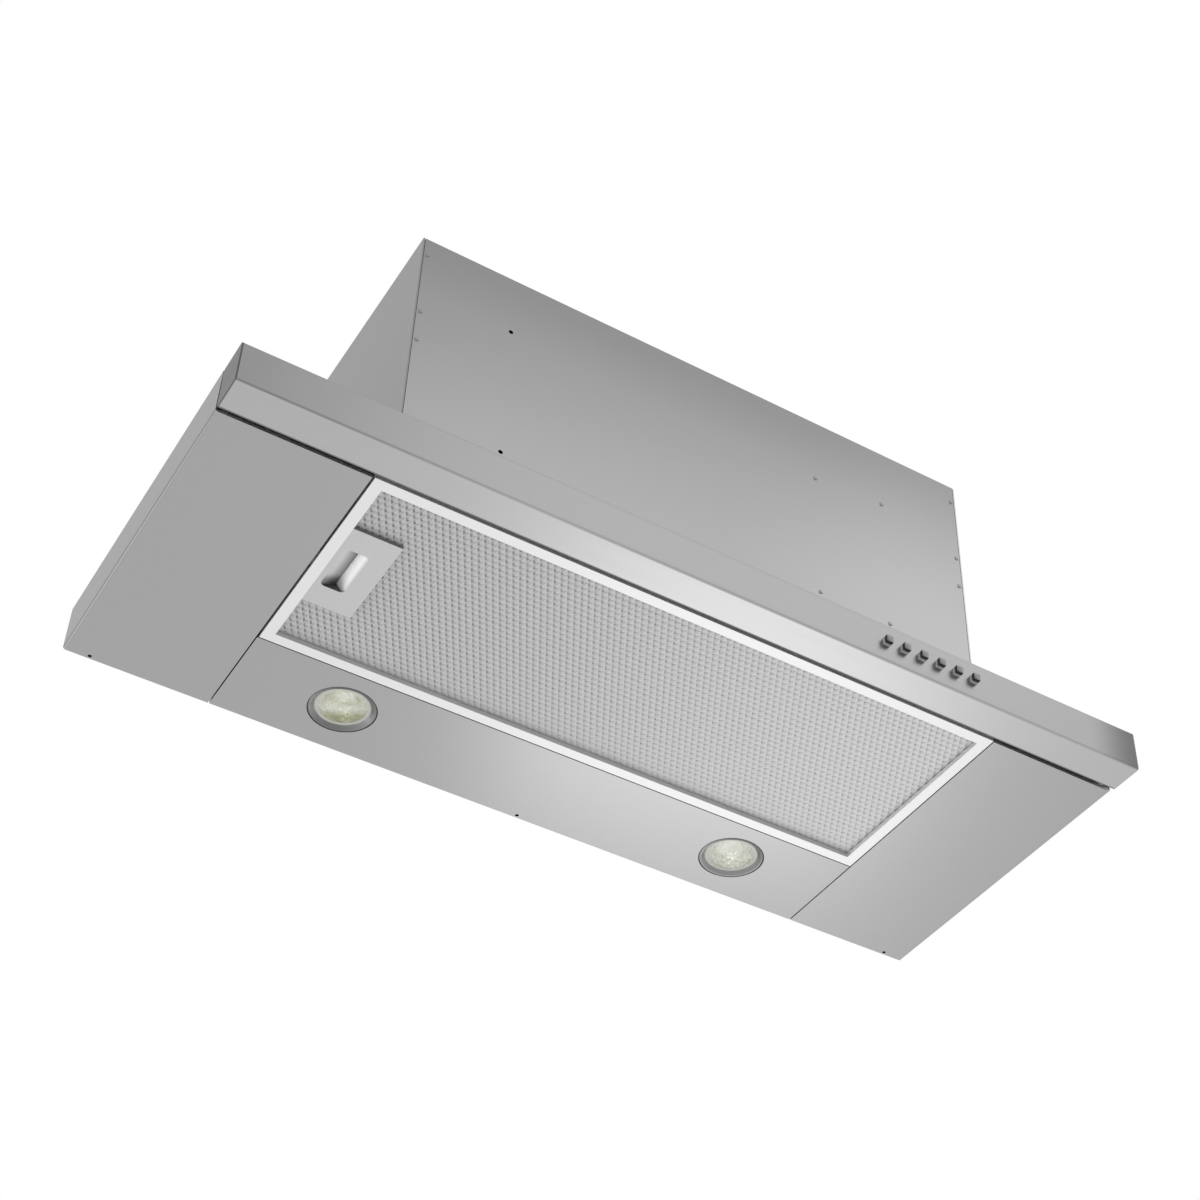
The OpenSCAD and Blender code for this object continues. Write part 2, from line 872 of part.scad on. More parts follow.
// Holder on the bulb's neck, with two arms down to the light panel
module lamp_holder() {
    union() {
        translate([0, 0, bulb_top]) cylinder(r = holder_r, h = holder_h);
        for (side = [-1, 1]) {
            translate([side * holder_arm_x - sheet / 2, -holder_arm_w / 2, sheet])
                cube([sheet, holder_arm_w, bulb_top]);
            translate([min(0, side * holder_arm_x), -holder_arm_w / 2, bulb_top])
                cube([holder_arm_x, holder_arm_w, sheet]);
        }
    }
}

module lamp_bezel_left() {
    color("gray") at_lamp(-1) lamp_bezel();
}

module lamp_bezel_right() {
    color("gray") at_lamp(1) lamp_bezel();
}

module lamp_glass_left() {
    color("ivory") at_lamp(-1) lamp_glass();
}

module lamp_glass_right() {
    color("ivory") at_lamp(1) lamp_glass();
}

module lamp_bulb_left() {
    color("white") at_lamp(-1) lamp_bulb();
}

module lamp_bulb_right() {
    color("white") at_lamp(1) lamp_bulb();
}

module lamp_holder_left() {
    color("beige") at_lamp(-1) lamp_holder();
}

module lamp_holder_right() {
    color("beige") at_lamp(1) lamp_holder();
}

// Motor housing: the front and the rear stand between the two sides
corner_gap = 0.5;
panel_x = box_x - sheet - corner_gap;
rivet_top_share = 0.7;
rivet_heights_share = [0.5, 0.636, 0.92];
hole_x_share = 0.683;
hole_heights_share = [0.166, 0.737];
dimple_x_shares = [0.427, 0.687];
dimple_heights_shares = [[0.172, 0.713], [0.166, 0.737]];

module box_front() {
    color(zinc)
    difference() {
        translate([-panel_x, front_y, base_h]) cube([2 * panel_x, sheet, box_h]);
        for (share = hole_heights_share)
            translate([-hole_x_share * box_x, front_y - cut, base_h + share * box_h])
                rotate([-90, 0, 0]) cylinder(r = front_hole_r, h = sheet + 2 * cut);
    }
}

module box_rear() {
    color(zinc)
    translate([-panel_x, rear_y - sheet, base_h]) cube([2 * panel_x, sheet, box_h]);
}

// Side with flanges behind the front and the rear panel, and a foot under the deck
module box_side() {
    foot_z = deck_z - sheet;
    color(zinc)
    union() {
        translate([box_x - sheet, front_y, base_h]) cube([sheet, body_d, box_h]);
        for (y = [front_y + sheet, rear_y - 2 * sheet])
            translate([box_x - box_flange, y, base_h])
                cube([box_flange, sheet, box_h - sheet]);
        translate([rail_x, front_y, foot_z]) cube([sheet, body_d - sheet, base_h - foot_z]);
        translate([rail_x, front_y, foot_z]) cube([box_flange, body_d - sheet, sheet]);
    }
}

module box_left() {
    on_left() box_side();
}

module box_right() {
    box_side();
}

bushing_r = 11;
bushing_x_share = 0.7;

module box_top() {
    color(zinc)
    difference() {
        translate([sheet - box_x, front_y + sheet, box_top_z - sheet])
            cube([2 * (box_x - sheet), body_d - 2 * sheet, sheet]);
        translate([0, duct_y, box_top_z - sheet - cut])
            cylinder(r = collar_r, h = sheet + 2 * cut);
        translate([bushing_x_share * box_x, rear_y - 3 * bushing_r,
                   box_top_z - sheet - cut])
            cylinder(r = bushing_r, h = sheet + 2 * cut);
    }
}

module rivet(x, z) {
    translate([x, front_y, z]) rotate([90, 0, 0])
        cylinder(r1 = rivet_r, r2 = rivet_r * rivet_top_share, h = rivet_h);
}

// Rivets on the front: a row along each side, and two rows for the blower
module box_rivets() {
    color(steel) {
        for (side = [-1, 1], share = rivet_heights_share)
            rivet(side * (box_x - rivet_inset), base_h + share * box_h);
        for (i = [0, 1], share = dimple_heights_shares[i])
            rivet(dimple_x_shares[i] * box_x, base_h + share * box_h);
    }
}

// Duct collar with a stop bead, and two damper leaves on a common rod
stop_w = 2;
stop_t = 1.5;
damper_z = box_top_z + 3 * stop_w;
damper_t = 1;
damper_r = collar_r - sheet - 2 * gap;
rod_r = 2;
knuckle_r = 3.6;
knuckle_count = 6;

module duct_collar() {
    inner_r = collar_r - sheet;
    bead_z = damper_z - damper_t / 2 - gap - stop_t;
    color(zinc)
    translate([0, duct_y, 0])
    difference() {
        union() {
            translate([0, 0, box_top_z]) rotate_extrude()
                polygon([
                    [inner_r, 0], [collar_r + collar_flange, 0],
                    [collar_r + collar_flange, sheet], [collar_r, sheet],
                    [collar_r, collar_h], [inner_r, collar_h]
                ]);
            translate([0, 0, bead_z]) rotate_extrude()
                translate([inner_r - stop_w, 0]) square([stop_w + sheet / 2, stop_t]);
        }
        translate([-collar_r - collar_flange, 0, damper_z]) rotate([0, 90, 0])
            cylinder(r = rod_r + pin_gap, h = 2 * (collar_r + collar_flange));
        translate([sheet - collar_r, -knuckle_r - gap, bead_z - cut])
            cube([2 * (collar_r - sheet), 2 * (knuckle_r + gap), stop_t + 2 * cut]);
    }
}

module damper_rod() {
    color("silver")
    translate([gap - collar_r, duct_y, damper_z]) rotate([0, 90, 0])
        cylinder(r = rod_r, h = 2 * (collar_r - gap));
}

// Half disc with knuckles round the rod; the other leaf has the other knuckles
module damper_leaf(first) {
    span = 2 * (damper_r - 2 * knuckle_r);
    pitch = span / knuckle_count;
    difference() {
        union() {
            intersection() {
                translate([0, 0, -damper_t / 2]) cylinder(r = damper_r, h = damper_t);
                translate([-damper_r, knuckle_r + gap, -damper_t])
                    cube([2 * damper_r, damper_r, 2 * damper_t]);
            }
            for (i = [first : 2 : knuckle_count - 1])
                translate([i * pitch - span / 2 + gap, 0, 0]) {
                    rotate([0, 90, 0]) cylinder(r = knuckle_r, h = pitch - 2 * gap);
                    translate([0, 0, -damper_t / 2])
                        cube([pitch - 2 * gap, 2 * knuckle_r, damper_t]);
                }
        }
        translate([-damper_r, 0, 0]) rotate([0, 90, 0])
            cylinder(r = rod_r + gap, h = 2 * damper_r);
    }
}

module damper_rear() {
    color("gray") translate([0, duct_y, damper_z]) damper_leaf(0);
}

module damper_front() {
    color("gray") translate([0, duct_y, damper_z]) mirror([0, 1, 0]) damper_leaf(1);
}

// Blower: the fan's axis runs left to right through the scroll
tongue_r = wheel_r + scroll_gap;
end_angle = 270;
step_angle = 6;
scroll_end_r = tongue_r + scroll_growth * end_angle / 360;
fan_y = duct_y + scroll_end_r - outlet_d / 2;
fan_z = base_h + fan_rise;
cheek_gap = 7;
cheek_x = wheel_w / 2 + cheek_gap;
outlet_top = box_top_z - sheet - fan_z;
tongue_y = outlet_d - scroll_end_r;
tongue_angle = asin(tongue_y / tongue_r);
inlet_r = wheel_r - blade_len - sheet;
lip_r = 6;
foot_w = 14;

// A point of the scroll's spiral, seen along the axis; the angle runs from the top
function scroll_point(a, extra) =
    let (r = tongue_r + scroll_growth * max(a, 0) / 360 + extra) [r * sin(a), r * cos(a)];

function scroll_side(extra) =
    [[tongue_y + extra, (tongue_r + extra) * cos(tongue_angle)],
     for (a = [tongue_angle + step_angle : step_angle : end_angle]) scroll_point(a, extra),
     scroll_point(end_angle, extra)];

function backwards(list) = [for (i = [len(list) - 1 : -1 : 0]) list[i]];

// Filled outline of the scroll and its outlet
module scroll_outline(extra) {
    polygon(concat(scroll_side(extra),
        [[-scroll_end_r - extra, outlet_top], [tongue_y + extra, outlet_top]]));
}

// Sheet wall round the wheel, two cheeks with rolled inlets, and a mounting flange
module blower_scroll() {
    width = 2 * cheek_x;
    color(zinc)
    translate([0, fan_y, fan_z])
    union() {
        translate([-cheek_x, 0, 0]) along_x(width)
            difference() {
                scroll_outline(sheet);
                scroll_outline(0);
            }
        for (side = [-1, 1]) {
            translate([side * cheek_x - sheet / 2, 0, 0]) along_x(sheet)
                difference() {
                    scroll_outline(sheet);
                    circle(inlet_r + lip_r);
                }
            translate([side * (cheek_x - sheet / 2), 0, 0])
                rotate([0, side * 90, 0])
                rotate_extrude()
                    intersection() {
                        translate([inlet_r + lip_r, -lip_r + sheet])
                            difference() {
                                circle(lip_r);
                                circle(lip_r - sheet);
                            }
                        translate([inlet_r - sheet, -lip_r + sheet])
                            square([lip_r + sheet + cut, lip_r]);
                    }
        }
        for (side = [-1, 1])
            translate([side * (cheek_x + foot_w / 2) - foot_w / 2,
                       -scroll_end_r - sheet, outlet_top - sheet])
                cube([foot_w, outlet_d + 2 * sheet, sheet]);
    }
}

// Motor in the wheel's right inlet, held by three arms on the right cheek
motor_x = 6;
motor_end = motor_x + motor_len;
bell = 10;
arm_t = 2;
arm_w = 12;
arm_len = inlet_r + bell + arm_w;
arm_x = cheek_x + sheet / 2;
arm_angles = [0, 120, 240];

module motor() {
    color("dimgray")
    translate([0, fan_y, fan_z])
    rotate([0, 90, 0])
    difference() {
        union() {
            translate([0, 0, motor_x]) rotate_extrude()
                polygon([
                    [0, 0], [motor_r - bell, 0], [motor_r, bell],
                    [motor_r, motor_len - bell], [motor_r - bell, motor_len],
                    [0, motor_len]
                ]);
            for (a = arm_angles)
                rotate([0, 0, a]) translate([0, -arm_w / 2, arm_x])
                    cube([arm_len, arm_w, arm_t]);
        }
        translate([0, 0, motor_x - cut])
            cylinder(r = shaft_r + gap, h = motor_len + 2 * cut);
    }
}

module fan_shaft() {
    color("silver")
    translate([-bell - sheet, fan_y, fan_z]) rotate([0, 90, 0])
        cylinder(r = shaft_r, h = motor_end + bell + sheet);
}

// Forward-curved blade: a short arc between two radii, drawn as a strip
blade_lean = 24;
blade_steps = 4;
function blade_point(t, offset) =
    let (r = wheel_r - blade_len + blade_len * t,
         a = blade_lean * t * t,
         shift = offset / r * 180 / PI)
    [r * cos(a + shift), r * sin(a + shift)];

module blade() {
    side = [for (i = [0 : blade_steps]) i / blade_steps];
    polygon(concat([for (t = side) blade_point(t, -blade_t / 2)],
                   [for (t = backwards(side)) blade_point(t, blade_t / 2)]));
}

// Wheel: blades between two rim rings, with a dished centre plate and a hub
ring_t = 3;
ring_w = 4;
plate_t = 1.6;
hub_r = 11;
hub_len = 18;

module fan_wheel() {
    color("lightgray")
    translate([0, fan_y, fan_z])
    rotate([0, 90, 0])
    difference() {
        union() {
            translate([0, 0, -wheel_w / 2]) linear_extrude(wheel_w)
                for (i = [0 : blade_count - 1])
                    rotate(i * 360 / blade_count) blade();
            for (z = [-wheel_w / 2, wheel_w / 2 - ring_t])
                translate([0, 0, z])
                    difference() {
                        cylinder(r = wheel_r + sheet / 2, h = ring_t);
                        translate([0, 0, -cut])
                            cylinder(r = wheel_r - ring_w, h = ring_t + 2 * cut);
                    }
            translate([0, 0, -hub_len / 2]) {
                cylinder(r = wheel_r - blade_t, h = plate_t);
                cylinder(r = hub_r, h = hub_len / 2);
            }
        }
        translate([0, 0, -hub_len / 2 - cut])
            cylinder(r = shaft_r + pin_gap, h = hub_len / 2 + 2 * cut);
    }
}

// Terminal box on the housing's left wall, beside the blower
terminal_w = 46;
terminal_d = 90;
terminal_h = 60;

module terminal_box() {
    color(zinc)
    translate([sheet - box_x, front_y + body_d / 2, base_h + box_h / 2])
    union() {
        difference() {
            cube([terminal_w, terminal_d, terminal_h]);
            translate([-cut, sheet, sheet])
                cube([terminal_w + 2 * cut, terminal_d - 2 * sheet, terminal_h - 2 * sheet]);
        }
        translate([terminal_w, -sheet, -sheet])
            cube([sheet, terminal_d + 2 * sheet, terminal_h + 2 * sheet]);
    }
}

fascia_bar();
fascia_back_plate();
fascia_cap_left();
fascia_cap_right();
visor_panel();
visor_screws();
button_guide();
switch_board();
tact_switches();
button_power();
button_speed_1();
button_speed_2();
button_speed_3();
button_boost();
button_light();
inner_rail_left();
inner_rail_right();
ball_cage_left();
ball_cage_right();
outer_rail_left();
outer_rail_right();
end_panel_left();
end_panel_right();
light_panel();
deck_left();
deck_right();
deck_front_rail();
deck_rear_rail();
filter_bracket_left();
filter_bracket_right();
latch_keeper();
filter_frame();
filter_mesh_outer();
filter_mesh_inner();
latch_plate();
latch_back_plate();
latch_spring();
lamp_bezel_left();
lamp_bezel_right();
lamp_glass_left();
lamp_glass_right();
lamp_bulb_left();
lamp_bulb_right();
lamp_holder_left();
lamp_holder_right();
box_front();
box_rear();
box_left();
box_right();
box_top();
box_rivets();
duct_collar();
damper_rod();
damper_front();
damper_rear();
blower_scroll();
motor();
fan_wheel();
fan_shaft();
terminal_box();
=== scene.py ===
import math

import bmesh
import bpy
from mathutils import Matrix, Vector


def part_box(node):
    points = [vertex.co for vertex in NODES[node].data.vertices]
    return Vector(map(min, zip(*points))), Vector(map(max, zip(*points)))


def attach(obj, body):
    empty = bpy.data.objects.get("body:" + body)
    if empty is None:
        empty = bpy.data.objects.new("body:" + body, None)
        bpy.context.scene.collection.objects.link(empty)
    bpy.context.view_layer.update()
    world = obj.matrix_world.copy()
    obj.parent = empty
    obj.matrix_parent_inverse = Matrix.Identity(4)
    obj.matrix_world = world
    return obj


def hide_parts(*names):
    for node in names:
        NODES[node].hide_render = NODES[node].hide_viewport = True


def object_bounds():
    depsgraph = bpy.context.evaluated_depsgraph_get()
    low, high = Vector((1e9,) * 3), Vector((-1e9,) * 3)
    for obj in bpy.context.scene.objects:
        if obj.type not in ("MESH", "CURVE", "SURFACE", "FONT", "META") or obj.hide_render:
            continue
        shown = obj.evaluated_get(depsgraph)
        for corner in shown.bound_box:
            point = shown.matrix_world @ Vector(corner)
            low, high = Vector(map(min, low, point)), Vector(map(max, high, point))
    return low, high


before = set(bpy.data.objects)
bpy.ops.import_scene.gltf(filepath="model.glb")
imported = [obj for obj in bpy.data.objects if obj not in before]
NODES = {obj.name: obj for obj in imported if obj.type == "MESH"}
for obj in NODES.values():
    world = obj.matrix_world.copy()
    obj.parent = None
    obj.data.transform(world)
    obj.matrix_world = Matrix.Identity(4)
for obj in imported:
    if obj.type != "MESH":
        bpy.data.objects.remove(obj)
cad_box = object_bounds()
scene = bpy.context.scene
scene.view_settings.view_transform = "Standard"
MM = 0.001

# Places in the CAD

# In metres: the bar's right end, the left, front and lower sides of the leftmost
# button, the step from one button to the next, and the middle of the right lamp
BAR_END = cad_box[1][0]
BUTTON_X, BUTTON_Y, BUTTON_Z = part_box("button_power")[0]
BUTTON_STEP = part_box("button_speed_1")[0].x - BUTTON_X
LAMP_X = sum(v.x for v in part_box("lamp_bezel_right")) / 2
LAMP_Y = sum(v.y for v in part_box("lamp_bezel_right")) / 2

# In millimetres: the middle of the latch's plate and its right side
latch_low, latch_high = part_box("latch_plate")
LATCH_Y = (latch_low.y + latch_high.y) / 2 / MM
PLATE_RIGHT = latch_high.x / MM

# Camera

# Focal length in pixels of a 1200 px frame, rotation vector and translation in
# metres of the part's frame as the photograph's camera sees it (x right, y down)
FRAME_PX = 1200
FOCAL_PX = 2286.36
CENTRE_X = 680
TURN = Vector((0.805096, -0.222332, 0.527200))
SHIFT = Vector((-0.0476923, 0.0822557, 1.726804))
SENSOR_MM = 36
NEAREST, FARTHEST = 0.05, 50


def make_camera():
    turn = Matrix.Rotation(TURN.length, 3, TURN.normalized())
    place = -(turn.transposed() @ SHIFT)
    data = bpy.data.cameras.new("camera")
    data.sensor_width = SENSOR_MM
    data.lens = FOCAL_PX * SENSOR_MM / FRAME_PX
    data.shift_x = -(CENTRE_X - FRAME_PX / 2) / FRAME_PX
    data.clip_start = NEAREST
    data.clip_end = FARTHEST
    obj = bpy.data.objects.new("camera", data)
    axes = Matrix((turn[0], -turn[1], -turn[2])).transposed().to_4x4()
    obj.matrix_world = Matrix.Translation(place) @ axes
    scene.collection.objects.link(obj)
    scene.camera = obj


make_camera()


# Node helpers
class Tree:
    """A material's node tree around one Principled shader, with short calls."""

    def __init__(self, name):
        self.mat = bpy.data.materials.new(name)
        self.mat.use_nodes = True
        self.tree = self.mat.node_tree
        self.tree.nodes.clear()
        out = self.add("ShaderNodeOutputMaterial")
        self.bsdf = self.add("ShaderNodeBsdfPrincipled")
        self.feed(out.inputs[0], self.bsdf.outputs[0])
        self.coord = self.add("ShaderNodeTexCoord").outputs["Object"]

    def add(self, kind, **values):
        node = self.tree.nodes.new(kind)
        for key, value in values.items():
            setattr(node, key, value)
        return node

    def feed(self, socket, value):
        """Gives a socket a number, a colour or another node's output."""
        if isinstance(value, tuple):
            socket.default_value = (*value, 1)
        elif isinstance(value, (int, float)):
            socket.default_value = value
        else:
            self.tree.links.new(value, socket)

    def shader(self, **values):
        """Feeds the shader's sockets, whose names have _ for a space."""
        for key, value in values.items():
            self.feed(self.bsdf.inputs[key.replace("_", " ")], value)

    def noise(self, cycles, detail, rough):
        """Noise with so many cycles per metre, one number or one for each axis."""
        scaled = self.add("ShaderNodeMapping")
        scaled.inputs["Scale"].default_value = (
            cycles if isinstance(cycles, tuple) else (cycles,) * 3)
        self.feed(scaled.inputs[0], self.coord)
        node = self.add("ShaderNodeTexNoise")
        for key, value in (("Scale", 1), ("Detail", detail), ("Roughness", rough),
                           ("Vector", scaled.outputs[0])):
            self.feed(node.inputs[key], value)
        return node.outputs["Fac"]

    def cells(self, cycles):
        """A cell texture: the distance in each cell, and a random number for it."""
        node = self.add("ShaderNodeTexVoronoi")
        self.feed(node.inputs["Scale"], cycles)
        self.feed(node.inputs["Vector"], self.coord)
        split = self.add("ShaderNodeSeparateColor")
        self.feed(split.inputs[0], node.outputs["Color"])
        return node.outputs["Distance"], split.outputs[0]

    def ramp(self, source, span, to, kind="LINEAR"):
        """Maps a span of the source's values to another span, held at its ends."""
        node = self.add("ShaderNodeMapRange", interpolation_type=kind)
        for key, value in zip(("From Min", "From Max", "To Min", "To Max"), (*span, *to)):
            self.feed(node.inputs[key], value)
        self.feed(node.inputs[0], source)
        return node.outputs[0]

    def math(self, kind, *values):
        node = self.add("ShaderNodeMath", operation=kind)
        for value, socket in zip(values, node.inputs):
            self.feed(socket, value)
        return node.outputs[0]

    def plus(self, a, b):
        return self.math("ADD", a, b)

    def minus(self, a, b):
        return self.math("SUBTRACT", a, b)

    def times(self, a, b):
        return self.math("MULTIPLY", a, b)

    def part(self, vector, axis):
        """A vector's part along one axis."""
        node = self.add("ShaderNodeSeparateXYZ")
        self.feed(node.inputs[0], vector)
        return node.outputs[axis]

    def place(self, axis):
        """The object coordinate along one axis, in metres."""
        return self.part(self.coord, axis)

    def normal(self, axis):
        """The object normal's part along one axis."""
        return self.part(self.add("ShaderNodeTexCoord").outputs["Normal"], axis)

    def facing(self, axis):
        """Square of the object normal's part along one axis."""
        normal = self.normal(axis)
        return self.times(normal, normal)

    def fade(self, factor, share):
        """1 where share is 0, going over to factor where share is 1."""
        return self.plus(self.times(self.minus(factor, 1), share), 1)

    def tint(self, colour, factor):
        """Colour times a varying grey factor."""
        node = self.add("ShaderNodeMix", data_type="RGBA", blend_type="MULTIPLY")
        for key, value in (("Factor", 1), ("A", colour), ("B", factor)):
            self.feed(node.inputs[key], value)
        return node.outputs["Result"]

    def mix(self, factor, a, b):
        node = self.add("ShaderNodeMix", data_type="RGBA")
        for key, value in (("Factor", factor), ("A", a), ("B", b)):
            self.feed(node.inputs[key], value)
        return node.outputs["Result"]

    def bump(self, height, strength, distance):
        node = self.add("ShaderNodeBump")
        for key, value in (("Strength", strength), ("Distance", distance),
                           ("Height", height)):
            self.feed(node.inputs[key], value)
        self.shader(Normal=node.outputs[0])


def linear(level):
    """Linear value of an sRGB grey level from 0 to 255."""
    share = level / 255
    return share / 12.92 if share <= 0.04045 else ((share + 0.055) / 1.055) ** 2.4


def grey(level):
    """Linear colour of an sRGB grey level."""
    return (linear(level),) * 3


# Materials

# Textures count in cycles per metre. A noise seldom leaves the middle of its range,
# so what it varies spreads over that middle. Heights of the bumps are in metres.
NOISE_SPAN = (0.3, 0.7)
CLOUD_SPAN = (0.2, 0.8)
FINE_GRAIN = 900
STREAKS = {"X": (4, 1100, 1100), "Y": (1100, 4, 1100)}
BANDS = {"X": (1.2, 130, 130), "Y": (130, 1.2, 130)}
VISOR_GRAIN = (5, 1000, 1000)
SCRATCH = 0.03 * MM
PORE = 0.05 * MM
DENT = 0.02 * MM


def around(value, by):
    """The span from value less by to value plus by."""
    return (value - by, value + by)


def brushed(name, level, rough, along="X", grain=1.0, side=None, front=None, ends=None,
            bend=None):
    """Sheet metal brushed along one axis: fine streaks in colour, gloss and height.
    side and front are grey levels of painted shade on the faces across X and across Y,
    ends what end_shade takes, and bend the factor of painted shade at the left end on
    the bend between the front and the underside."""
    t = Tree(name)
    streak = t.noise(STREAKS[along], detail=3, rough=0.6)
    band = t.noise(BANDS[along], detail=2, rough=0.5)
    both = t.plus(t.times(streak, 0.8), t.times(band, 0.2))
    vary = t.ramp(both, NOISE_SPAN, around(1, 0.02 * grain))
    # Painted shade: the faces across X and across Y get darker grey levels of their own
    for value, axis in ((side, "X"), (front, "Y")):
        if value:
            vary = t.times(vary, t.fade(linear(value) / linear(level), t.facing(axis)))
    if ends:
        vary = t.times(vary, end_shade(t, *ends))
    # Painted shade on the bend, strongest at the left end, and a faint painted highlight on
    # it further right
    if bend:
        left_part, right_factor = (-0.35, -0.15), 1.1
        # 1 where the normal is halfway from Y to Z, as it is on the bend
        between = t.times(t.times(t.facing("Y"), t.facing("Z")), 4)
        share = t.ramp(t.place("X"), left_part, (bend, right_factor))
        vary = t.times(vary, t.fade(share, between))
    t.shader(Metallic=1, Base_Color=t.tint(grey(level), vary),
             Roughness=t.ramp(both, NOISE_SPAN, (rough - 0.04 * grain, rough + 0.05 * grain)))
    t.bump(streak, 0.06 * grain, SCRATCH)
    return t.mat


def end_shade(t, reach, right, left):
    """Painted shade over the last stretch of a long bar's front, at both ends. reach is
    the stretch's length, right and left are the factors at the very ends."""
    total = 1
    for sign, share in ((1, right), (-1, left)):
        outward = t.times(t.place("X"), sign)
        end = t.ramp(outward, (BAR_END - reach, BAR_END), (1, share), "SMOOTHSTEP")
        total = t.times(end, total)
    return t.fade(total, t.facing("Y"))


def plain_sheet(name, level, rough=0.42, spread=0.05, size=60, front=None, shade=None):
    """Galvanised or mill-finish sheet: soft cloudy spangle. spread is how far the colour
    varies, size the clouds' cycles, front a grey level of painted light on the faces
    across Y, and shade a function that gives a factor of painted light and shade."""
    t = Tree(name)
    spangles_per_cloud = 2.2
    cloud = t.noise(size, detail=4, rough=0.6)
    spangle = t.cells(size * spangles_per_cloud)[1]
    both = t.plus(t.times(cloud, 0.7), t.times(spangle, 0.3))
    vary = t.ramp(both, CLOUD_SPAN, around(1, spread))
    # Painted light on the faces across Y
    if front:
        vary = t.times(vary, t.fade(linear(front) / linear(level), t.facing("Y")))
    if shade:
        vary = t.times(vary, shade(t))
    t.shader(Metallic=1, Base_Color=t.tint(grey(level), vary),
             Roughness=t.ramp(both, CLOUD_SPAN, around(rough, 1.2 * spread)))
    t.bump(cloud, 0.4 * spread, DENT)
    return t.mat


def plastic(name, colour, rough=0.5):
    """Moulding with a fine grain."""
    t = Tree(name)
    fine = t.noise(FINE_GRAIN, detail=3, rough=0.6)
    t.shader(Base_Color=t.tint(colour, t.ramp(fine, NOISE_SPAN, around(1, 0.1))),
             Roughness=t.ramp(fine, NOISE_SPAN, around(rough, 0.06)))
    t.bump(fine, 0.15, PORE)
    return t.mat


def satin(name, level, metal, shade, rough=(0.4, 0.5), grain=FINE_GRAIN):
    """Blasted or lacquered metal: part diffuse, with a fine grain. shade is a
    function that gives a factor of painted light and shade."""
    t = Tree(name)
    fine = t.noise(grain, detail=3, rough=0.6)
    vary = t.times(t.ramp(fine, NOISE_SPAN, around(1, 0.03)), shade(t))
    t.shader(Metallic=metal, Base_Color=t.tint(grey(level), vary),
             Roughness=t.ramp(fine, NOISE_SPAN, rough))
    t.bump(fine, 0.1, SCRATCH)
    return t.mat


def rim_shade(t):
    """Painted shade on the rim's walls across Y, most of all on the outer front one."""
    front_wall, factors = (-0.119, -0.112), (0.45, 0.6)
    return t.fade(t.ramp(t.place("Y"), front_wall, factors), t.facing("Y"))


def edge_shade(t):
    """Painted shade on the back plate's lower edge, seen in the gap behind the bar."""
    return t.fade(0.25, t.facing("Z"))


def tray_shade(t):
    """Painted shade on the wide tray's flat faces, so that its flanges stay lighter."""
    return t.fade(0.65, t.facing("Z"))


def scoop_shade(t):
    """Painted light and shade on the latch's plate: inside the finger recess a painted
    highlight on the slanted wall and painted shade that grows with depth and towards
    the rear end, and painted shade on all faces across Y."""
    wall_depth, full_depth = (0.0005, 0.0028), (0.0025, 0.0072)
    rear_part = ((LATCH_Y + 9) * MM, (LATCH_Y + 16) * MM)
    wall = t.ramp(t.normal("X"), (-0.3, -0.6), (0, 1))
    off_plate = t.ramp(t.normal("Z"), (-0.97, -0.93), (0, 1))
    inside = t.times(off_plate, t.minus(1, wall))
    deep = t.ramp(t.place("Z"), full_depth, (1, 0.3))
    rear = t.ramp(t.place("Y"), rear_part, (1, 0.45))
    bright = t.ramp(t.place("Z"), wall_depth, (0.95, 1.6))
    light = t.times(t.fade(bright, wall), t.fade(0.35, t.facing("Y")))
    return t.times(light, t.fade(t.times(deep, rear), inside))


def bezel_shade(t):
    """Painted shade on the bezels at their front, and on the left one at its rear as well."""
    front_part, rear_part = (LAMP_Y - 0.022, LAMP_Y), (LAMP_Y + 0.01, LAMP_Y + 0.024)
    from_left_to_right = (-0.1, 0.1)
    front = t.ramp(t.place("Y"), front_part, (0.5, 1))
    rear = t.ramp(t.place("Y"), rear_part, (0, 1))
    rear_factor = t.ramp(t.place("X"), from_left_to_right, (0.62, 0.95))
    return t.times(front, t.fade(rear_factor, rear))


def mesh_shade(t):
    """Painted shade: the filter's outer mesh is a little darker at its left end."""
    whole_length = (-0.25, 0.25)
    return t.ramp(t.place("X"), whole_length, (0.87, 1))


def inner_shade(t):
    """Painted shade: the inner mesh darkens to the left over two thirds of its length."""
    left_part = (-0.25, 0.1)
    return t.ramp(t.place("X"), left_part, (0.55, 1))


def box_shade(t):
    """Painted shade and light on the motor housing's front: darker at its top and
    lighter low on the right.
    """
    top_part, low_part, right_part = (0.205, 0.26), (0.1, 0.2), (0.02, 0.22)
    top = t.ramp(t.place("Z"), top_part, (1, 0.9))
    low = t.ramp(t.place("Z"), low_part, (1, 0))
    right = t.times(t.ramp(t.place("X"), right_part, (0, 0.12)), low)
    return t.times(top, t.plus(right, 1))


